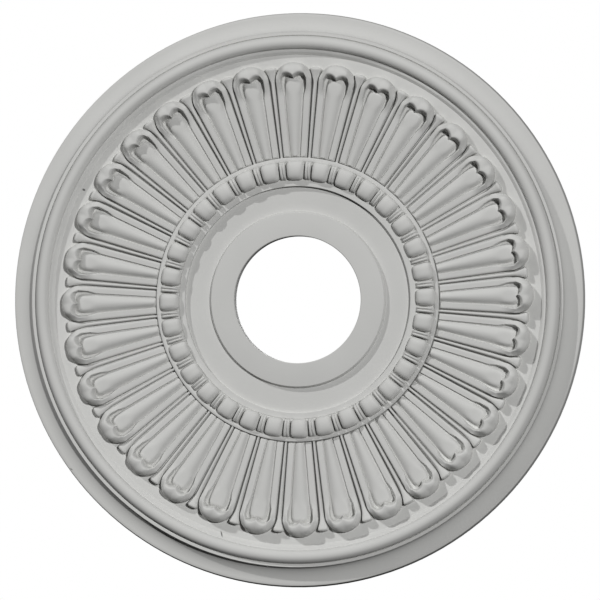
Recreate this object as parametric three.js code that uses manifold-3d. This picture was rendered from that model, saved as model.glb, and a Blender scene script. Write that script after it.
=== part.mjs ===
// Ceiling rose: a round moulded disc with a hole for the lamp's flex, a rim of mouldings,
// a ring of fluted leaves with darts between them, and a ring of beads and reels.
// Millimetres, +Z up. The flat back lies on the ceiling plane z = 0 and the carved face looks down.

import * as THREE from 'three';
import { mergeVertices } from 'three/addons/utils/BufferGeometryUtils.js';
import Module from 'manifold-3d';

// Driving dimensions: radii and widths across the disc
const OUTER_RADIUS = 208;
const COVE_WIDTH = 14.3;
const FILLET_WIDTH = 2.4;
const ROLL_WIDTH = 9.6;
const RIDGE_WIDTH = 2.2;
const RIDGE_SLOPE_WIDTH = 2;
const FLOOR_WIDTH = 5.2;
const LEAF_LENGTH = 69;
const LEAF_HOOD_LENGTH = 12;
const DART_SHORTFALL = 3;
const CORD_RING_WIDTH = 3;
const BEAD_LENGTH = 13.8;
const LEDGE_WIDTH = 4.2;
const HOLE_RADIUS = 46;
const RAISED_RING_WIDTH = 17;
const RAISED_RING_SLOPE_WIDTH = 1.2;

// Driving dimensions: how far each face stands out from the ceiling
const RIM_EDGE_RISE = 6;
const COVE_HEIGHT = 7;
const FILLET_STEP = 1;
const ROLL_FOOT_RISE = 13;
const ROLL_HEIGHT = 4.9;
const FLOOR_RISE = 11;
const LEAF_CREST_HEIGHT = 9;
const LEAF_CREST_SIDE_HEIGHT = 4.4;
const LEAF_SHOULDER_HEIGHT = 6.8;
const LEAF_RIB_HEIGHT = 2.8;
const LEAF_CREASE_HEIGHT = 1;
const LEAF_RIM_HEIGHT = 2.3;
const RIB_ROUNDING_DROP = 0.4;
const LEAF_BED_DROP = 2.4;
const DART_HEIGHT = 5.6;
const DART_STEM_HEIGHT = 2.2;
const CORD_RING_RISE = 11.6;
const BEAD_BED_RISE = 10.8;
const BEAD_HEIGHT = 5.8;
const REEL_HEIGHT = 4;
const REEL_VALLEY_HEIGHT = 1.4;
const RECESS_RISE = 7.8;
const RAISED_RING_RISE = 11;

// Roundings, drafts and the small overlaps that join the ornament to the disc
const WALL_DRAFT = 0.7;
const EDGE_ROUNDING = 0.9;
const FILLET_DRAFT = 0.3;
const CORD_RING_ROUNDING = 0.8;
const EMBED = 1;
const TOE_EMBED = 0.2;

// Pattern round the disc
const LEAF_COUNT = 32;
const PITCH = 2 * Math.PI / LEAF_COUNT;
const LEAF_HALF_ANGLE = THREE.MathUtils.degToRad(4.7);
const DART_HALF_ANGLE = THREE.MathUtils.degToRad(0.42);
const DART_CROWN_SPREAD = 3.2;
const DART_TOE_SPREAD = 2.4;
const BEAD_HALF_ANGLE = THREE.MathUtils.degToRad(4.1);
const REEL_OFFSET_ANGLE = THREE.MathUtils.degToRad(0.6);
const REEL_PAIR_HALF_ANGLE = THREE.MathUtils.degToRad(1.1);

// Facets: enough to read every curve, few enough to stay light
const LATHE_SEGMENTS = 48;
const COVE_STEPS = 3;
const ROLL_STEPS = 6;

// Places that follow from the sizes above, from the rim inwards
const RIM_EDGE_RADIUS = OUTER_RADIUS - WALL_DRAFT;
const COVE_INNER_RADIUS = OUTER_RADIUS - COVE_WIDTH;
const COVE_TOP_RISE = RIM_EDGE_RISE + COVE_HEIGHT;
const FILLET_RISE = COVE_TOP_RISE + FILLET_STEP;
const ROLL_OUTER_RADIUS = COVE_INNER_RADIUS - FILLET_WIDTH - FILLET_DRAFT;
const ROLL_INNER_RADIUS = ROLL_OUTER_RADIUS - ROLL_WIDTH;
const RIDGE_INNER_RADIUS = ROLL_INNER_RADIUS - RIDGE_WIDTH;
const FLOOR_OUTER_RADIUS = RIDGE_INNER_RADIUS - RIDGE_SLOPE_WIDTH;
const LEAF_TIP_RADIUS = FLOOR_OUTER_RADIUS - FLOOR_WIDTH;
const DART_TIP_RADIUS = LEAF_TIP_RADIUS - DART_SHORTFALL;
const CORD_OUTER_RADIUS = LEAF_TIP_RADIUS - LEAF_LENGTH;
const BEAD_OUTER_RADIUS = CORD_OUTER_RADIUS - CORD_RING_WIDTH;
const BEAD_INNER_RADIUS = BEAD_OUTER_RADIUS - BEAD_LENGTH;
const RECESS_OUTER_RADIUS = BEAD_INNER_RADIUS - LEDGE_WIDTH;
const RAISED_RING_RADIUS = HOLE_RADIUS + RAISED_RING_WIDTH;
const RECESS_INNER_RADIUS = RAISED_RING_RADIUS + RAISED_RING_SLOPE_WIDTH;
const LEAF_POCKET_RADIUS = LEAF_TIP_RADIUS - LEAF_HOOD_LENGTH;
const LEAF_BED_RISE = FLOOR_RISE - LEAF_BED_DROP;

const wasm = await Module();
wasm.setup();

// A closed geometry with its shared corners merged, as a solid that can be joined and cut.
function solidFrom(geometry) {
  geometry.deleteAttribute('normal');
  geometry.deleteAttribute('uv');
  const merged = mergeVertices(geometry);
  return new wasm.Manifold(new wasm.Mesh({
    numProp: 3,
    vertProperties: new Float32Array(merged.attributes.position.array),
    triVerts: new Uint32Array(merged.index.array),
  }));
}

// A solid's surface as a geometry for a named mesh.
function geometryFrom(solid) {
  const mesh = solid.getMesh();
  const geometry = new THREE.BufferGeometry();
  geometry.setAttribute('position', new THREE.BufferAttribute(mesh.vertProperties, mesh.numProp));
  geometry.setIndex(new THREE.BufferAttribute(mesh.triVerts, 1));
  geometry.computeVertexNormals();
  return geometry;
}

// Points on part of an ellipse in the section, from one angle to another.
function sectionArc(radius, rise, halfWidth, height, fromAngle, toAngle, steps) {
  const clockwise = toAngle < fromAngle;
  const curve = new THREE.EllipseCurve(radius, rise, halfWidth, height, fromAngle, toAngle, clockwise);
  return curve.getPoints(steps).map((point) => [point.x, point.y]);
}

// Half the disc's section as [radius, rise] pairs, from the back edge of the rim to the hole.
function discSection() {
  const rollHalfWidth = ROLL_WIDTH / 2;
  const coveHalfWidth = RIM_EDGE_RADIUS - EDGE_ROUNDING - COVE_INNER_RADIUS;
  const cove = sectionArc(
    COVE_INNER_RADIUS + coveHalfWidth, COVE_TOP_RISE, coveHalfWidth, COVE_HEIGHT,
    -Math.PI / 2, -Math.PI, COVE_STEPS,
  );
  const roll = sectionArc(
    ROLL_INNER_RADIUS + rollHalfWidth, ROLL_FOOT_RISE, rollHalfWidth, ROLL_HEIGHT,
    0, Math.PI, ROLL_STEPS,
  );
  return [
    [OUTER_RADIUS, 0],
    [RIM_EDGE_RADIUS, RIM_EDGE_RISE - EDGE_ROUNDING],
    ...cove,
    [COVE_INNER_RADIUS, FILLET_RISE],
    [COVE_INNER_RADIUS - FILLET_WIDTH, FILLET_RISE],
    ...roll,
    [RIDGE_INNER_RADIUS, ROLL_FOOT_RISE],
    [FLOOR_OUTER_RADIUS, FLOOR_RISE],
    [LEAF_POCKET_RADIUS, FLOOR_RISE],
    [CORD_OUTER_RADIUS, LEAF_BED_RISE],
    [CORD_OUTER_RADIUS, CORD_RING_RISE],
    [BEAD_OUTER_RADIUS + CORD_RING_ROUNDING, CORD_RING_RISE],
    [BEAD_OUTER_RADIUS, BEAD_BED_RISE],
    [RECESS_OUTER_RADIUS, BEAD_BED_RISE],
    [RECESS_OUTER_RADIUS, RECESS_RISE],
    [RECESS_INNER_RADIUS, RECESS_RISE],
    [RAISED_RING_RADIUS, RAISED_RING_RISE],
    [HOLE_RADIUS, RAISED_RING_RISE],
    [HOLE_RADIUS, 0],
    [OUTER_RADIUS, 0],
  ];
}

// The plain disc: its section turned round the centre line, carved side down.
function disc() {
  const section = discSection().map(([radius, rise]) => new THREE.Vector2(radius, -rise));
  const geometry = new THREE.LatheGeometry(section.reverse(), LATHE_SEGMENTS);
  geometry.rotateX(Math.PI / 2);
  return solidFrom(geometry);
}

// A piece of ornament pressed from a block of alongSteps by acrossSteps cells. The shape function
// gives the radius, the angle from the piece's middle and the rise of a grid point on its face.
// The block's other side is buried in the disc, straight above the face, at the buried rise.
function pressedPiece(alongSteps, acrossSteps, buriedRise, shape) {
  const geometry = new THREE.BoxGeometry(1, 1, 1, alongSteps, acrossSteps, 1);
  const position = geometry.attributes.position;
  for (let i = 0; i < position.count; i += 1) {
    const along = Math.round((position.getX(i) + 0.5) * alongSteps);
    const across = position.getY(i) * 2;
    const point = shape(along, across);
    const rise = position.getZ(i) < 0 ? point.rise : buriedRise;
    position.setXYZ(i, point.radius * Math.cos(point.angle), point.radius * Math.sin(point.angle), -rise);
  }
  return solidFrom(geometry);
}

// How far the bed under the leaves and darts stands out, at a distance in from the leaf tips:
// flat under the hoods, then falling straight towards the cord ring.
function bedRise(back) {
  const fallen = Math.max(0, back - LEAF_HOOD_LENGTH) / (LEAF_LENGTH - LEAF_HOOD_LENGTH);
  return FLOOR_RISE - LEAF_BED_DROP * fallen;
}

// The rows of a leaf from the cord ring to its toe: distance in from the tip at the middle, how much
// further in the row falls at the leaf's edge, how far the middle of each flute pushes the row
// outwards, and the row's width as a share of the leaf's. The tip curls up into a hood whose crest
// is the lip row: two round lobes with a cusp between them.
const LEAF_ROWS = [
  { name: 'root', back: LEAF_LENGTH + EMBED, sag: 0, lobe: 0, spread: 1 },
  { name: 'pocket', back: LEAF_HOOD_LENGTH, sag: 0, lobe: 3, spread: 1 },
  { name: 'lip', back: 9.4, sag: 1.6, lobe: 2.6, spread: 1 },
  { name: 'shoulder', back: 3.2, sag: 3.2, lobe: 0, spread: 0.95 },
  { name: 'toe', back: 0, sag: 4.4, lobe: 0, spread: 0.78 },
];
const ROOT_DEPTH_SHARE = 0.9;

// The columns of a leaf from its middle to its edge, with the height of its long body and of its
// crest there: a low rounded rib, a crease beside it, a flat rim, and the foot of the side.
const LEAF_COLUMNS = [
  { name: 'middle', share: 0, body: LEAF_RIB_HEIGHT, crest: LEAF_CREST_HEIGHT },
  { name: 'rib side', share: 0.3, body: LEAF_RIB_HEIGHT - RIB_ROUNDING_DROP, crest: LEAF_CREST_HEIGHT },
  { name: 'crease', share: 0.5, body: LEAF_CREASE_HEIGHT, crest: LEAF_CREST_HEIGHT },
  { name: 'rim', share: 0.93, body: LEAF_RIM_HEIGHT, crest: LEAF_CREST_SIDE_HEIGHT },
  { name: 'foot', share: 1, body: -TOE_EMBED, crest: -TOE_EMBED },
];

function leafHeight(row, column) {
  if (row.name === 'toe' || column.name === 'foot') {
    return -TOE_EMBED;
  }
  if (row.name === 'shoulder') {
    return LEAF_SHOULDER_HEIGHT * (1 - column.share ** 2 / 2);
  }
  if (row.name === 'lip') {
    return column.crest;
  }
  return row.name === 'root' ? column.body * ROOT_DEPTH_SHARE : column.body;
}

function leaf() {
  const columnsEachSide = LEAF_COLUMNS.length - 1;
  const alongSteps = LEAF_ROWS.length - 1;
  return pressedPiece(alongSteps, 2 * columnsEachSide, LEAF_BED_RISE - EMBED, (along, across) => {
    const row = LEAF_ROWS[along];
    const column = LEAF_COLUMNS[Math.round(Math.abs(across) * columnsEachSide)];
    const lobe = row.lobe * Math.sin(Math.PI * column.share) ** 2;
    return {
      radius: LEAF_TIP_RADIUS - row.back - row.sag * column.share ** 2 + lobe,
      angle: LEAF_HALF_ANGLE * row.spread * column.share * Math.sign(across),
      rise: bedRise(row.back) + leafHeight(row, column),
    };
  });
}

// The rows of a dart, with the distance in from its own tip: a thin stem between the leaves,
// a crown that swells out of it, and a toe.
const DART_ROWS = [
  { back: LEAF_LENGTH - DART_SHORTFALL + EMBED, spread: 1, height: DART_STEM_HEIGHT },
  { back: LEAF_HOOD_LENGTH - DART_SHORTFALL, spread: 1, height: DART_STEM_HEIGHT },
  { back: 2.4, spread: DART_CROWN_SPREAD, height: DART_HEIGHT },
  { back: 0, spread: DART_TOE_SPREAD, height: -TOE_EMBED },
];

function dart() {
  return pressedPiece(DART_ROWS.length - 1, 2, LEAF_BED_RISE - EMBED, (along, across) => {
    const row = DART_ROWS[along];
    return {
      radius: DART_TIP_RADIUS - row.back,
      angle: DART_HALF_ANGLE * row.spread * across,
      rise: bedRise(row.back + DART_SHORTFALL) + (across === 0 ? row.height : -TOE_EMBED),
    };
  });
}

// A bead is a cushion that swells over its bed from low sides and ends.
const BEAD_SIDE_SHARE = 0.45;
const BEAD_END_NARROWING = 0.2;
const BEAD_ROWS = [0, 0.5, 1];
const BEAD_ACROSS_STEPS = 4;

function bead() {
  return pressedPiece(BEAD_ROWS.length - 1, BEAD_ACROSS_STEPS, BEAD_BED_RISE - EMBED, (along, across) => {
    const fromMiddle = BEAD_ROWS[along] * 2 - 1;
    const swellAcross = THREE.MathUtils.lerp(BEAD_SIDE_SHARE, 1, Math.sqrt(1 - across ** 2));
    const swellAlong = THREE.MathUtils.lerp(BEAD_SIDE_SHARE, 1, Math.sqrt(1 - fromMiddle ** 2));
    return {
      radius: BEAD_INNER_RADIUS + BEAD_ROWS[along] * BEAD_LENGTH,
      angle: BEAD_HALF_ANGLE * across * (1 - BEAD_END_NARROWING * fromMiddle ** 4),
      rise: BEAD_BED_RISE + BEAD_HEIGHT * swellAcross * swellAlong,
    };
  });
}

// A pair of reels, thin discs on edge, seen here as two narrow ridges side by side with a valley between.
const REEL_COLUMNS = [
  { angle: 0, height: REEL_VALLEY_HEIGHT },
  { angle: REEL_OFFSET_ANGLE, height: REEL_HEIGHT },
  { angle: REEL_PAIR_HALF_ANGLE, height: -TOE_EMBED },
];

function reelPair() {
  const columnsEachSide = REEL_COLUMNS.length - 1;
  return pressedPiece(1, 2 * columnsEachSide, BEAD_BED_RISE - EMBED, (along, across) => {
    const column = REEL_COLUMNS[Math.round(Math.abs(across) * columnsEachSide)];
    return {
      radius: BEAD_INNER_RADIUS + along * BEAD_LENGTH,
      angle: column.angle * Math.sign(across),
      rise: BEAD_BED_RISE + column.height,
    };
  });
}

function turned(solid, angle) {
  return solid.rotate([0, 0, THREE.MathUtils.radToDeg(angle)]);
}

// The whole casting: leaves with a bead under each, and darts between them with a pair of reels.
function ceilingRose() {
  const leafSolid = leaf();
  const dartSolid = dart();
  const beadSolid = bead();
  const reelPairSolid = reelPair();
  let rose = disc();
  for (let i = 0; i < LEAF_COUNT; i += 1) {
    const leafAngle = i * PITCH;
    const dartAngle = leafAngle + PITCH / 2;
    rose = rose.add(turned(leafSolid, leafAngle));
    rose = rose.add(turned(dartSolid, dartAngle));
    rose = rose.add(turned(beadSolid, leafAngle));
    rose = rose.add(turned(reelPairSolid, dartAngle));
  }
  return rose;
}

const primedCasting = new THREE.MeshStandardMaterial({ color: 0xd6d6d4, roughness: 0.75, metalness: 0 });
const rose = new THREE.Mesh(geometryFrom(ceilingRose()), primedCasting);
rose.name = 'ceiling_rose';

const part = new THREE.Group();
part.add(rose);

export default part;
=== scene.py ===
# The looks of a round moulded ceiling rose, face down as under a ceiling.
# One casting: a rim of mouldings, a ring of fluted leaves with darts between them,
# a ring of beads and reels, and a raised ring round the hole.

import math

import bmesh
import bpy
from mathutils import Matrix, Vector


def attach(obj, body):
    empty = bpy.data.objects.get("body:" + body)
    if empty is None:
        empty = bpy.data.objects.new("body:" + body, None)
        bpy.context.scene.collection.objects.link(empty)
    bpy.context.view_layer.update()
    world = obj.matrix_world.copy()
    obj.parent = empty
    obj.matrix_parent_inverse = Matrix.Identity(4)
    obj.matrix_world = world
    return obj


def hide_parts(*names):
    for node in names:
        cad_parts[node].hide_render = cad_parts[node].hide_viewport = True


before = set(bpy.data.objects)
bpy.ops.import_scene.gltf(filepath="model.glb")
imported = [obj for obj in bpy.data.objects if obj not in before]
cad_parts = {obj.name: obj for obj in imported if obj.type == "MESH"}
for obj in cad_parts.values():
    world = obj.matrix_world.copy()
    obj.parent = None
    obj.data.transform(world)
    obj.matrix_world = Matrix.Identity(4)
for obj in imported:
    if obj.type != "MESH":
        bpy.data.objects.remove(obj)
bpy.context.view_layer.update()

MM = 0.001


# Radii of the turned section, in millimetres, from the back edge of the rim to the hole

RIM_BACK = 208.0
RIM_EDGE = 207.3
COVE_INNER = 193.7
FILLET_INNER = 191.4
ROLL_OUTER = 191.0
ROLL_INNER = 181.4
RIDGE_INNER = 179.2
FLOOR_OUTER = 177.2
LEAF_TIP = 172.0
HOOD_LENGTH = 12.0
DART_TIP = 169.0
CORD_OUTER = 103.0
BEAD_OUTER = 100.0
BEAD_END = 100.6
BEAD_INNER = 86.2
RECESS_OUTER = 82.0
RECESS_INNER = 64.2
RAISED_EDGE = 63.0
HOLE = 46.0

# How far each face stands out from the ceiling, in millimetres

RIM_EDGE_RISE = 6.0
COVE_RISE = 13.0
FILLET_RISE = 14.0
ROLL_SIDE = 0.1
RIDGE_RISE = 13.0
FLOOR_RISE = 11.0
LEAF_BED_DROP = 2.4
GROOVE_DROP = 1.4
BEAD_GAP_DROP = 0.4
CORD_RISE = 11.6
BED_RISE = 10.8
RECESS_RISE = 7.8
RAISED_RISE = 11.0

# Steps and roundings of the turned section, in millimetres

TURN_STEPS = 160
EDGE_ROUNDING = 0.8
EDGE_TURN = math.radians(80)
EDGE_STEPS = 3
COVE_START = RIM_EDGE - 1
COVE_SHARES = (0.12, 0.26, 0.4, 0.54, 0.67, 0.78, 0.87, 0.94, 0.98, 1.0)
ROLL_STEPS = 16
BED_START = 7
BED_STEPS = 9
BED_CURVE = 1.8

# Straight runs of the section as radius and rise. What is added to or taken from a named
# size is a small corner, rounded as a mould leaves it.

FILLET_RUN = (
    (COVE_INNER, FILLET_RISE - 0.25),
    (COVE_INNER - 0.25, FILLET_RISE),
    (FILLET_INNER + 0.2, FILLET_RISE),
    (FILLET_INNER, FILLET_RISE - 0.2),
    (ROLL_OUTER, RIDGE_RISE + ROLL_SIDE),
)
RIDGE_RUN = (
    (ROLL_INNER - 0.1, RIDGE_RISE),
    (RIDGE_INNER + 0.3, RIDGE_RISE),
    (RIDGE_INNER - 0.2, RIDGE_RISE - 0.3),
    (FLOOR_OUTER, FLOOR_RISE),
    (LEAF_TIP - 2, FLOOR_RISE),
)
CORD_RUN = (
    (CORD_OUTER, CORD_RISE - 0.6),
    (CORD_OUTER - 0.2, CORD_RISE - 0.2),
    (CORD_OUTER - 0.6, CORD_RISE),
    (BEAD_OUTER + 0.5, CORD_RISE),
    (BEAD_OUTER, CORD_RISE - 0.2),
)
BEAD_BED_RUN = (
    (BEAD_OUTER - 0.9, BED_RISE - BEAD_GAP_DROP),
    (BEAD_INNER + 0.3, BED_RISE - BEAD_GAP_DROP),
    (BEAD_INNER, BED_RISE),
    (RECESS_OUTER + 0.3, BED_RISE),
    (RECESS_OUTER, BED_RISE - 0.3),
    (RECESS_OUTER, RECESS_RISE),
    (RECESS_INNER, RECESS_RISE),
)
RAISED_RUN = (
    (RAISED_EDGE + 0.2, RAISED_RISE - 0.5),
    (RAISED_EDGE - 0.1, RAISED_RISE - 0.1),
    (RAISED_EDGE - 0.5, RAISED_RISE),
    (HOLE + 0.5, RAISED_RISE),
    (HOLE, RAISED_RISE - 0.4),
    (HOLE, 0),
    (RIM_BACK, 0),
)

# The pattern round the disc. The foot of each ornament sinks into the disc, and its closing
# face lies deeper still, so that neither is seen.

FOOT = -GROOVE_DROP - 0.4
CLOSING_DEPTH = 3
COUNT = 32
PITCH = math.tau / COUNT
LEAF_HALF = math.radians(4.65)
DART_HALF = math.radians(0.58)
BEAD_HALF = math.radians(4.15)
REEL_PAIR_HALF = math.radians(1.4)


# Drawing a section as a chain of edges in the plane of radius and rise

def start_section(bm, radius, rise):
    return bm.verts.new((radius, 0, rise))


def run_to(bm, corner, radius, rise):
    step = bmesh.ops.extrude_vert_indiv(bm, verts=[corner])["verts"][0]
    step.co = (radius, 0, rise)
    return step


def run_along(bm, corner, run):
    for radius, rise in run:
        corner = run_to(bm, corner, radius, rise)
    return corner


def swing(bm, corner, centre, angle, steps):
    """A curved run: the last corner swung about a centre, positive towards the hole."""
    turned = bmesh.ops.spin(
        bm, geom=[corner], cent=(centre[0], 0, centre[1]), axis=(0, 1, 0),
        angle=-angle, steps=steps,
    )
    return turned["geom_last"][0]


def turn_round(bm, steps):
    """Turns the section in the bmesh round the centre line."""
    bmesh.ops.spin(
        bm, geom=list(bm.verts) + list(bm.edges), cent=(0, 0, 0), axis=(0, 0, 1),
        angle=math.tau, steps=steps, use_merge=True,
    )
    bmesh.ops.remove_doubles(bm, verts=bm.verts, dist=0.001)


def smoothed(share):
    share = min(max(share, 0), 1)
    return share * share * (3 - 2 * share)


def between(low, high, share):
    return low + (high - low) * share


def long_rise(back):
    """Share of the climb from the leaf's root to its hood: fast at first, then level."""
    share = min(max((LEAF_TIP - CORD_OUTER - back) / (LEAF_TIP - CORD_OUTER - HOOD_LENGTH), 0), 1)
    return 1 - (1 - share) ** BED_CURVE


def bed_rise(back):
    """How far the bed under leaves and darts stands out, at a distance in from the leaf tips."""
    return FLOOR_RISE - LEAF_BED_DROP * (1 - long_rise(back))


def turned_disc(bm):
    roll_radius = (ROLL_OUTER - ROLL_INNER) / 2
    pen = start_section(bm, RIM_BACK, 0)
    pen = run_to(bm, pen, RIM_EDGE, RIM_EDGE_RISE - EDGE_ROUNDING)
    edge_centre = (RIM_EDGE - EDGE_ROUNDING, RIM_EDGE_RISE - EDGE_ROUNDING)
    pen = swing(bm, pen, edge_centre, EDGE_TURN, EDGE_STEPS)
    for share in COVE_SHARES:
        across = between(COVE_START, COVE_INNER, share)
        up = between(RIM_EDGE_RISE, COVE_RISE, 1 - math.sqrt(1 - share ** 2))
        pen = run_to(bm, pen, across, up)
    pen = run_along(bm, pen, FILLET_RUN)
    roll_centre = (ROLL_OUTER - roll_radius, RIDGE_RISE + ROLL_SIDE)
    pen = swing(bm, pen, roll_centre, math.pi, ROLL_STEPS)
    pen = run_along(bm, pen, RIDGE_RUN)
    for step in range(BED_STEPS + 1):
        back = between(BED_START, LEAF_TIP - CORD_OUTER, step / BED_STEPS)
        pen = run_to(bm, pen, LEAF_TIP - back, bed_rise(back) - GROOVE_DROP)
    run_along(bm, pen, CORD_RUN + BEAD_BED_RUN + RAISED_RUN)
    turn_round(bm, TURN_STEPS)


# Pressing ornament from a grid

def pressed_grid(columns, rows, shape):
    """A grid of columns by rows whose points a shape puts in place: it is given the numbers
    of the column and the row, and gives back radius, angle and rise."""
    bm = bmesh.new()
    bmesh.ops.create_grid(bm, x_segments=columns, y_segments=rows, size=0.5)
    for vert in bm.verts:
        column = round((vert.co.x + 0.5) * columns)
        row = round((vert.co.y + 0.5) * rows)
        radius, angle, rise = shape(column, row)
        vert.co = (radius * math.cos(angle), radius * math.sin(angle), rise)
    return bm


def mirrored(bm):
    bmesh.ops.mirror(
        bm, geom=list(bm.verts) + list(bm.edges) + list(bm.faces),
        matrix=Matrix.Identity(4), merge_dist=0.001, axis="Y",
    )
    bmesh.ops.remove_doubles(bm, verts=bm.verts, dist=0.0005)


def closed_below(bm, rise):
    """Draws the grid's border straight down to a rise and closes it with one face."""
    border = [edge for edge in bm.edges if edge.is_boundary]
    skirt = bmesh.ops.extrude_edge_only(bm, edges=border)["geom"]
    foot = [item for item in skirt if isinstance(item, bmesh.types.BMVert)]
    for vert in foot:
        vert.co.z = rise
    rim = [item for item in skirt if isinstance(item, bmesh.types.BMEdge) and item.is_boundary]
    bmesh.ops.edgeloop_fill(bm, edges=rim)


def repeated(bm, first_angle):
    """Turns the piece to its first place and repeats it round the disc."""
    bmesh.ops.rotate(
        bm, verts=bm.verts, cent=(0, 0, 0), matrix=Matrix.Rotation(first_angle, 3, "Z"),
    )
    bmesh.ops.spin(
        bm, geom=list(bm.verts) + list(bm.edges) + list(bm.faces), cent=(0, 0, 0),
        axis=(0, 0, 1), angle=math.tau * (COUNT - 1) / COUNT, steps=COUNT - 1,
        use_duplicate=True,
    )


# The leaf

LEAF_ELLIPSE = 12.3
CREST = 9.0
CREST_SIDE = 4.0
RIB_HEIGHT = 3.5
CREASE_HEIGHT = 0.3
RIM_HEIGHT = 2.3
POCKET_HEIGHT = -1.0
POCKET_MIDDLE_HEIGHT = 1.4
ROOT_SHARE = 0.88
CREASE_SHARE_TIP = 0.56
CREASE_SHARE_ROOT = 0.41
NOSE_START = 19.0
NOSE_LENGTH = 8.4
NOSE_ROUNDING = 1.8
WALL_LENGTH = 3.4
WALL_CURVE = 3.0

# The hood's crest, from the tip: a cusp in the middle, a lobe on each side, then a shoulder
CUSP_BACK = 8.9
LOBE_LENGTH = 2.6
LOBE_END = 0.78
LOBE_CURVE = 0.8
SHOULDER_BACK = 2.0
SHOULDER_START = 0.56
SHOULDER_WIDTH = 0.18
LEAST_HOOD = 1.2
CREST_FALL_START = 0.4
CREST_FALL_WIDTH = 0.6
DOME_CURVE = 0.8

# Where the rim climbs, where the body turns into the hood, and how wide each slope is
RIM_CLIMB_START = 24
RIM_CLIMB_LENGTH = 13
RIM_FALL = 0.5
RIM_FALL_START = 0.8
RIM_FALL_WIDTH = 0.2
HOOD_START = 26
HOOD_BLEND = 9
POCKET_START = 0.32
POCKET_WIDTH = 0.24
POCKET_WIDENING = 0.1
CREASE_WALL = 0.07
POCKET_WALL = 0.1
NOSE_OUTLINE = 3.4
NOSE_FRONT_CURVE = 0.6
RIB_CURVES = (2.0, 1.0)
NOSE_CURVES = (4.5, 0.75)
ROOT_START = 67.6
ROOT_LENGTH = 1.3
END_CROWDING = 1.3

# The long side of the leaf: two soft drops, then the wall down to the foot
SOFT_DROP = 0.15
EDGE_DROP = 0.5
SIDE_HEIGHT = 1.0
FOOT_SPREAD = 0.012

# Columns from the rib's middle to the foot of the leaf's side, as shares of the half width
LEAF_COLUMNS = (
    0, 0.09, 0.18, 0.27, 0.36, 0.44, 0.5, 0.54, 0.57, 0.6, 0.63, 0.66, 0.7,
    0.74, 0.79, 0.85, 0.91, 0.955, 0.985, 1.0, 1.0, 1.0,
)
EDGE_COLUMN = 19
LAST_COLUMN = 21

# Rows of the body, by how far they lie back from the tip
BODY_ROWS = (68.9, 68.6, 67.8) + tuple(65 - 3 * step for step in range(14)) + (23.8, 22)
END_ROWS = 15
DOME_ROWS = 8


def ellipse_back(place):
    """How far back the tip's outline lies at a share of the half width."""
    return LEAF_ELLIPSE * (1 - math.sqrt(max(0, 1 - place ** 2)))


def crest_back(place):
    """How far back the crest of the hood lies: two round lobes and a cusp between them."""
    lobe = LOBE_LENGTH * math.sin(math.pi * min(place / LOBE_END, 1)) ** LOBE_CURVE
    side = SHOULDER_BACK * smoothed((place - SHOULDER_START) / SHOULDER_WIDTH)
    return max(CUSP_BACK - lobe + side, ellipse_back(place) + LEAST_HOOD)


def crest_height(place):
    fall = smoothed((place - CREST_FALL_START) / CREST_FALL_WIDTH)
    return between(CREST, CREST_SIDE, fall)


def rim_height(place, back):
    """The rim beside the rib: level along the body, then climbing into the hood's crest."""
    body = RIM_HEIGHT * between(ROOT_SHARE, 1, long_rise(back))
    climb = smoothed((RIM_CLIMB_START - back) / RIM_CLIMB_LENGTH)
    edge = max(0, (place - RIM_FALL_START) / RIM_FALL_WIDTH)
    return between(body, crest_height(place), climb) - RIM_FALL * edge ** 3


def crease_share(back):
    """Where the crease between rib and rim lies, as a share of the half width."""
    return between(CREASE_SHARE_ROOT, CREASE_SHARE_TIP, long_rise(back))


def root_rounding(back):
    """Share of the height that is left where the leaf rounds down at its root."""
    return math.sqrt(max(0, 1 - max(0, (back - ROOT_START) / ROOT_LENGTH) ** 2))


def leaf_height(place, back):
    """Height of the leaf over its bed behind the crest, at a share of the half width."""
    scale = between(ROOT_SHARE, 1, long_rise(back))
    hood = smoothed((HOOD_START - back) / HOOD_BLEND)
    into_nose = min(max(0, (NOSE_START - back) / NOSE_LENGTH), 1)
    crease = crease_share(back)
    nose = crease * (1 - into_nose ** NOSE_OUTLINE) ** (1 / NOSE_OUTLINE)
    into_pocket = smoothed((place - POCKET_START) / POCKET_WIDTH)
    pocket = between(POCKET_MIDDLE_HEIGHT, POCKET_HEIGHT, into_pocket)
    low = between(CREASE_HEIGHT * scale, pocket, hood)
    up_rim = smoothed((place - (crease + POCKET_WIDENING * hood)) / between(CREASE_WALL, POCKET_WALL, hood))
    rise = low + (rim_height(place, back) - low) * up_rim
    if place < nose:
        front = min(1, (1 - into_nose) * NOSE_LENGTH / NOSE_ROUNDING) ** NOSE_FRONT_CURVE
        rib = (RIB_HEIGHT * scale - low) * front
        side_curve = between(RIB_CURVES[0], NOSE_CURVES[0], hood)
        top_curve = between(RIB_CURVES[1], NOSE_CURVES[1], hood)
        rise = max(rise, low + rib * (1 - (place / nose) ** side_curve) ** top_curve)
    wall = max(0, 1 - (back - crest_back(place)) / WALL_LENGTH)
    return max(rise, crest_height(place) * (1 - (1 - wall) ** WALL_CURVE))


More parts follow.
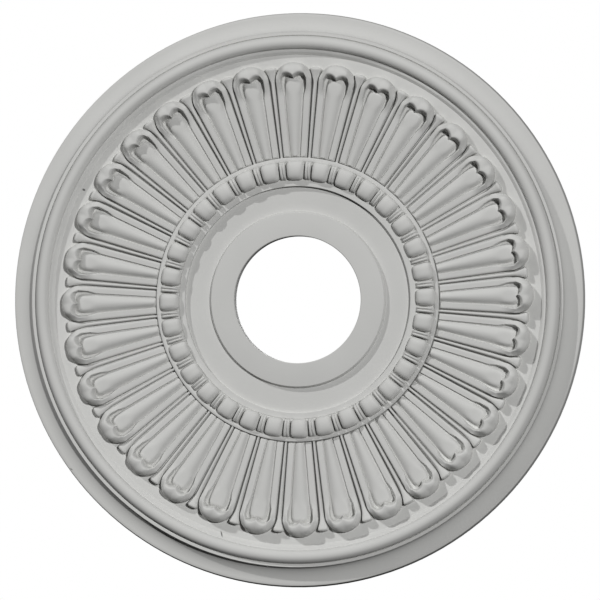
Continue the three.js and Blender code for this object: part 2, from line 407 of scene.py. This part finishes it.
def leaf_shape(column, row):
    share = LEAF_COLUMNS[column]
    place = share
    body = len(BODY_ROWS) - 1
    if row <= body:
        back = BODY_ROWS[row]
        place = share + (crease_share(back) - CREASE_SHARE_TIP) * math.sin(math.pi * share)
        rise = leaf_height(place, back) * root_rounding(back)
        if row == 0:
            rise = FOOT
    elif row <= body + END_ROWS:
        step = (row - body) / END_ROWS
        back = between(BODY_ROWS[-1], crest_back(place), 1 - (1 - step) ** END_CROWDING)
        rise = leaf_height(place, back)
    else:
        step = (row - body - END_ROWS) / DOME_ROWS
        back = between(crest_back(place), ellipse_back(place), math.sin(step * math.pi / 2))
        rise = crest_height(place) * math.cos(step * math.pi / 2) ** DOME_CURVE
        if step == 1:
            rise = FOOT
    if column == EDGE_COLUMN - 1:
        rise = rise - SOFT_DROP
    if column == EDGE_COLUMN:
        rise = rise - EDGE_DROP
    if column == EDGE_COLUMN + 1:
        rise = min(rise, SIDE_HEIGHT)
    if column == LAST_COLUMN:
        rise = FOOT
        place = place + FOOT_SPREAD
    return LEAF_TIP - back, LEAF_HALF * place, bed_rise(back) + rise


def leaves():
    rows = len(BODY_ROWS) - 1 + END_ROWS + DOME_ROWS
    bm = pressed_grid(LAST_COLUMN, rows, leaf_shape)
    mirrored(bm)
    closed_below(bm, FLOOR_RISE - LEAF_BED_DROP - CLOSING_DEPTH)
    repeated(bm, 0)
    return bm


# The dart: a thin rounded stem that widens like a trumpet at the tip

DART_RISE = 5.6
STEM_RISE = 2.2
TRUMPET_LENGTH = 14
TRUMPET_CURVE = 1.5
TRUMPET_SPREAD = 3.2
END_ROUNDING = 2.4
END_CURVE = 0.7
STEM_FULLNESS = 2
TRUMPET_FULLNESS = 3.6
DART_ROWS = (
    66.8, 58, 48, 38, 30, 24, 19, 15, 12, 10, 8.5, 7.2, 6, 4.9, 3.9, 3, 2.2, 1.5, 0.9, 0.4, 0,
)
DART_COLUMNS = 4


def dart_shape(column, row):
    back = DART_ROWS[row]
    across = column / DART_COLUMNS
    swell = max(0, (TRUMPET_LENGTH - back) / TRUMPET_LENGTH) ** TRUMPET_CURVE
    round_end = math.sqrt(max(0, 1 - max(0, (END_ROUNDING - back) / END_ROUNDING) ** 2))
    half = DART_HALF * between(1, TRUMPET_SPREAD, swell) * between(1, round_end, swell)
    ridge = between(STEM_RISE, DART_RISE, swell) * round_end ** END_CURVE
    fullness = between(STEM_FULLNESS, TRUMPET_FULLNESS, swell)
    rise = ridge * max(0, 1 - across ** fullness) ** 0.5
    if column == DART_COLUMNS or row == len(DART_ROWS) - 1:
        rise = FOOT
    return DART_TIP - back, half * across, bed_rise(back + LEAF_TIP - DART_TIP) + rise


def darts():
    bm = pressed_grid(DART_COLUMNS, len(DART_ROWS) - 1, dart_shape)
    mirrored(bm)
    closed_below(bm, FLOOR_RISE - LEAF_BED_DROP - CLOSING_DEPTH)
    repeated(bm, PITCH / 2)
    return bm


# Beads and reels

BEAD_RISE = 5.8
BEAD_COLUMNS = 7
BEAD_ROWS = 16
REEL_RISE = 4.9
REEL_COLUMNS = 6
REEL_ROWS = 8
VALLEY_SLOPE = 0.5
OUTER_SLOPE = 0.9
CUSHION_SIDE = 3.2
CUSHION_TOP = 0.55
BEAD_REACH = 0.985
REEL_REACH = 0.97
BARREL_END = 0.3
BEAD_END_SQUARENESS = 12
BEAD_CORNER_SIDE = 4
BEAD_CORNER_TOP = 0.4
BEAD_END_WIDTH = 0.35


def cushion(share):
    """The height of a round cushion at a share of its half width."""
    return max(0, 1 - abs(share) ** CUSHION_SIDE) ** CUSHION_TOP


def barrel(along):
    """The swell along a bead or reel: full in the middle, low at both ends."""
    return between(BARREL_END, 1, math.sqrt(1 - along ** 2))


def ring_radius(along):
    """The radius in the ring of beads, from -1 at its inner side to 1 at its outer side."""
    half_length = (BEAD_END - BEAD_INNER) / 2
    middle = (BEAD_END + BEAD_INNER) / 2
    return middle + half_length * along


def bead_shape(column, row):
    """A bead: a cushion that swells like a barrel along its length, with round corners."""
    across = column / BEAD_COLUMNS
    along = math.sin((row / BEAD_ROWS * 2 - 1) * math.pi / 2)
    edge = column == BEAD_COLUMNS or row in (0, BEAD_ROWS)
    swell = barrel(along) * max(0, 1 - abs(along) ** BEAD_END_SQUARENESS) ** 0.5
    rise = -GROOVE_DROP if edge else BEAD_RISE * cushion(across * BEAD_REACH) * swell
    corner = (1 - abs(along) ** BEAD_CORNER_SIDE) ** BEAD_CORNER_TOP if abs(along) < 1 else 0
    narrow = between(BEAD_END_WIDTH, 1, corner)
    return ring_radius(along), BEAD_HALF * across * narrow, BED_RISE + rise


def beads():
    bm = pressed_grid(BEAD_COLUMNS, BEAD_ROWS, bead_shape)
    mirrored(bm)
    closed_below(bm, BED_RISE - CLOSING_DEPTH)
    repeated(bm, 0)
    return bm


def reel_shape(column, row):
    """Two thin reels side by side, with a shallow valley between them."""
    across = column / REEL_COLUMNS
    along = row / REEL_ROWS * 2 - 1
    edge = column == REEL_COLUMNS or row in (0, REEL_ROWS)
    slope = VALLEY_SLOPE if across < 0.5 else OUTER_SLOPE
    round_top = math.sqrt(1 - (across * 2 - 1) ** 2 * slope)
    swell = barrel(along) * cushion(along * REEL_REACH)
    rise = -GROOVE_DROP if edge else REEL_RISE * round_top * swell
    return ring_radius(along), REEL_PAIR_HALF * across, BED_RISE + rise


def reels():
    bm = pressed_grid(REEL_COLUMNS, REEL_ROWS, reel_shape)
    mirrored(bm)
    closed_below(bm, BED_RISE - CLOSING_DEPTH)
    repeated(bm, PITCH / 2)
    return bm


# The casting

SHARP_FROM = math.radians(38)


def add_to(whole, part):
    """Adds one bmesh to another and frees it."""
    held = bpy.data.meshes.new("held")
    part.to_mesh(held)
    part.free()
    whole.from_mesh(held)
    bpy.data.meshes.remove(held)


def casting():
    """The disc and its ornament as closed shells in one mesh. The ornament sinks into the disc."""
    whole = bmesh.new()
    turned_disc(whole)
    for part in (leaves(), darts(), beads(), reels()):
        add_to(whole, part)
    bmesh.ops.recalc_face_normals(whole, faces=whole.faces)
    bmesh.ops.scale(whole, verts=whole.verts, vec=(MM, MM, MM))
    bmesh.ops.rotate(
        whole, verts=whole.verts, cent=(0, 0, 0), matrix=Matrix.Rotation(math.pi, 3, "X"),
    )
    for face in whole.faces:
        face.smooth = True
    for edge in whole.edges:
        if len(edge.link_faces) == 2 and edge.calc_face_angle(0) > SHARP_FROM:
            edge.smooth = False
    mesh = bpy.data.meshes.new("rose_casting")
    whole.to_mesh(mesh)
    whole.free()
    piece = bpy.data.objects.new("rose_casting", mesh)
    bpy.context.scene.collection.objects.link(piece)
    return piece


# Materials

def linear(hex_colour):
    """An sRGB hex colour as linear red, green, blue and alpha."""
    parts = [int(hex_colour[i:i + 2], 16) / 255 for i in (1, 3, 5)]
    return [c / 12.92 if c <= 0.04045 else ((c + 0.055) / 1.055) ** 2.4 for c in parts] + [1]


def add_node(tree, kind, links=(), **settings):
    """Adds a node, sets its inputs or properties by name, and links outputs into its inputs."""
    node = tree.nodes.new(kind)
    for name, value in settings.items():
        if name in node.bl_rna.properties:
            setattr(node, name, value)
        else:
            node.inputs[name.replace("_", " ")].default_value = value
    for output, name in links:
        tree.links.new(output, node.inputs[name])
    return node


def seen_direction(clockwise, elevation):
    """The direction towards a light, given as an angle clockwise from the picture's top and an
    elevation above the carved face. The picture's top is +Y, and its right is -X, seen from below."""
    turn = math.radians(clockwise)
    lift = math.radians(elevation)
    level = math.cos(lift)
    return Vector((-math.sin(turn) * level, math.cos(turn) * level, -math.sin(lift)))


# Sizes of the finish in millimetres, and its tones
TONE_DRIFT = 45.0
SPRAY_GRAIN = 1.7
GRAIN_DEPTH = 0.08
DEEPER_TONE = "#cbcbc9"
PALER_TONE = "#d3d3d1"
MARK_TONE = "#6f6f6e"
SMOOTHER = 0.68
ROUGHER = 0.82

# Three small dark marks as seen, painted into the colour as darker spots: angle, radius, length and width,
# lean.
# They reach only so deep round the face's level, so that they don't show on the back.
MARKS = (
    (198.9, 178.3, (4.9, 0.9), 73),
    (234.5, 206.0, (0.7, 2.6), -54),
    (298.1, 175.5, (2.4, 1.6), 30),
)
MARK_LEVEL = 10.0
MARK_DEPTH = 16.0
MARK_CORE = 0.3
MARK_FADE = 0.6


def mark(tree, place, clockwise, radius, size, lean):
    """How much a small mark shows, from 0 to 1: placed clockwise from the picture's top and at a
    radius, with its length and width in mm and its lean in degrees."""
    middle = seen_direction(clockwise, 0) * radius * MM
    laid = add_node(
        tree, "ShaderNodeMapping", [(place, "Vector")], vector_type="TEXTURE",
        Location=(middle.x, middle.y, -MARK_LEVEL * MM), Rotation=(0, 0, math.radians(lean)),
        Scale=(size[0] * MM, size[1] * MM, MARK_DEPTH * MM),
    )
    away = add_node(tree, "ShaderNodeVectorMath", [(laid.outputs["Vector"], 0)], operation="LENGTH")
    return add_node(
        tree, "ShaderNodeMapRange", [(away.outputs["Value"], "Value")],
        From_Min=MARK_CORE, From_Max=MARK_FADE, To_Min=1, To_Max=0,
    ).outputs["Result"]


def primed_casting():
    """Dense foam cast in a mould and sprayed with matt white primer: plain and chalky to the eye,
    with a tone that wavers a little over some centimetres and a very fine grain from the spray,
    drawn a little coarser than the real one so that it shows."""
    material = bpy.data.materials.new("matt_primer_on_cast_foam")
    material.use_nodes = True
    tree = material.node_tree
    shader = tree.nodes["Principled BSDF"]
    shader.inputs["IOR"].default_value = 1.46
    shader.inputs["Specular IOR Level"].default_value = 0.2
    place = add_node(tree, "ShaderNodeTexCoord").outputs["Object"]
    drift = add_node(
        tree, "ShaderNodeTexNoise", [(place, "Vector")], Scale=1 / (TONE_DRIFT * MM), Detail=2,
    )
    grain = add_node(
        tree, "ShaderNodeTexNoise", [(place, "Vector")], Scale=1 / (SPRAY_GRAIN * MM), Detail=2,
    )
    tone = add_node(tree, "ShaderNodeMixRGB", [(drift.outputs["Fac"], "Fac")],
                    Color1=linear(DEEPER_TONE), Color2=linear(PALER_TONE))
    marked = tone.outputs["Color"]
    for clockwise, radius, size, lean in MARKS:
        shown = mark(tree, place, clockwise, radius, size, lean)
        marked = add_node(tree, "ShaderNodeMixRGB", [(shown, "Fac"), (marked, "Color1")],
                          Color2=linear(MARK_TONE)).outputs["Color"]
    tree.links.new(marked, shader.inputs["Base Color"])
    sheen = add_node(tree, "ShaderNodeMapRange", [(grain.outputs["Fac"], "Value")],
                     To_Min=SMOOTHER, To_Max=ROUGHER)
    tree.links.new(sheen.outputs["Result"], shader.inputs["Roughness"])
    bump = add_node(tree, "ShaderNodeBump", [(grain.outputs["Fac"], "Height")],
                    Strength=0.25, Distance=GRAIN_DEPTH * MM)
    tree.links.new(bump.outputs["Normal"], shader.inputs["Normal"])
    return material


rose = casting()
rose.data.materials.append(primed_casting())
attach(rose, "root")
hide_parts("ceiling_rose")


# Studio, in metres and degrees: a plain pale floor far below, behind the camera, a white
# backdrop, two small crisp lights on the carved face and a broad one on the back. The floor
# neither shades the rose nor bounces light onto it, which would wash out the low relief.
# The gamma brings the contrast nearer to the photograph's. It belongs to the picture alone.

FLOOR_RADIUS = 8
FLOOR_LEVEL = -9.5
FLOOR_TONE = "#e8e8e6"
ROOM_LIGHT = 0.02
BACKDROP = 1.0
GAMMA = 0.86

# Name, angle clockwise from the picture's top, elevation, strength and spread
LIGHTS = (
    ("side_light", 317, 28.5, 1.5, 1.5),
    ("key_light", 66, 60, 2.18, 2),
    ("back_light", 0, -86, 1.8, 10),
)


def studio_floor():
    bm = bmesh.new()
    bmesh.ops.create_circle(bm, cap_ends=True, radius=FLOOR_RADIUS, segments=64)
    bmesh.ops.translate(bm, verts=bm.verts, vec=(0, 0, FLOOR_LEVEL))
    mesh = bpy.data.meshes.new("studio_floor")
    bm.to_mesh(mesh)
    bm.free()
    floor = bpy.data.objects.new("studio_floor", mesh)
    bpy.context.scene.collection.objects.link(floor)
    material = bpy.data.materials.new("pale_matt_floor")
    material.use_nodes = True
    shader = material.node_tree.nodes["Principled BSDF"]
    shader.inputs["Base Color"].default_value = linear(FLOOR_TONE)
    mesh.materials.append(material)
    floor.visible_shadow = False
    floor.visible_diffuse = False


studio_floor()


def sun(name, clockwise, elevation, strength, spread):
    data = bpy.data.lights.new(name, "SUN")
    data.energy = strength
    data.angle = math.radians(spread)
    lamp = bpy.data.objects.new(name, data)
    lamp.rotation_mode = "QUATERNION"
    lamp.rotation_quaternion = seen_direction(clockwise, elevation).to_track_quat("Z", "Y")
    bpy.context.scene.collection.objects.link(lamp)


for light in LIGHTS:
    sun(*light)


def white_room():
    """A white backdrop for the eye that gives the carved face hardly any light."""
    world = bpy.data.worlds.new("white_room")
    bpy.context.scene.world = world
    world.use_nodes = True
    tree = world.node_tree
    background = tree.nodes["Background"]
    background.inputs["Color"].default_value = (1, 1, 1, 1)
    sight = add_node(tree, "ShaderNodeLightPath")
    strength = add_node(tree, "ShaderNodeMapRange", [(sight.outputs["Is Camera Ray"], "Value")],
                        To_Min=ROOM_LIGHT, To_Max=BACKDROP)
    tree.links.new(strength.outputs["Result"], background.inputs["Strength"])


white_room()
bpy.context.scene.view_settings.view_transform = "Standard"
bpy.context.scene.view_settings.gamma = GAMMA


# Camera: below the rose, a little to the picture's lower right. The picture's frame is IMAGE
# pixels wide, and one of them covers PIXEL metres of the rose.

SENSOR = 36
IMAGE = 600
CAMERA_DISTANCE = 8.0
CAMERA_TILT = 7.4
CAMERA_TOWARDS = 105.0
CAMERA_ROLL = 0.9
PIXEL = 0.000723
LOOK_AT = (-0.0020, -0.0004, -0.012)


def camera():
    data = bpy.data.cameras.new("camera")
    data.sensor_width = SENSOR
    data.lens = SENSOR * CAMERA_DISTANCE / (IMAGE * PIXEL)
    data.clip_start = 0.01
    data.clip_end = 100
    eye = bpy.data.objects.new("camera", data)
    bpy.context.scene.collection.objects.link(eye)
    towards = seen_direction(CAMERA_TOWARDS, 90 - CAMERA_TILT)
    eye.location = Vector(LOOK_AT) + towards * CAMERA_DISTANCE
    up = Vector((0, 1, 0))
    up.rotate(Matrix.Rotation(math.radians(CAMERA_ROLL), 3, "Z"))
    back = towards.normalized()
    right = up.cross(back).normalized()
    true_up = back.cross(right)
    eye.rotation_mode = "QUATERNION"
    eye.rotation_quaternion = Matrix((right, true_up, back)).transposed().to_quaternion()
    bpy.context.scene.camera = eye


camera()
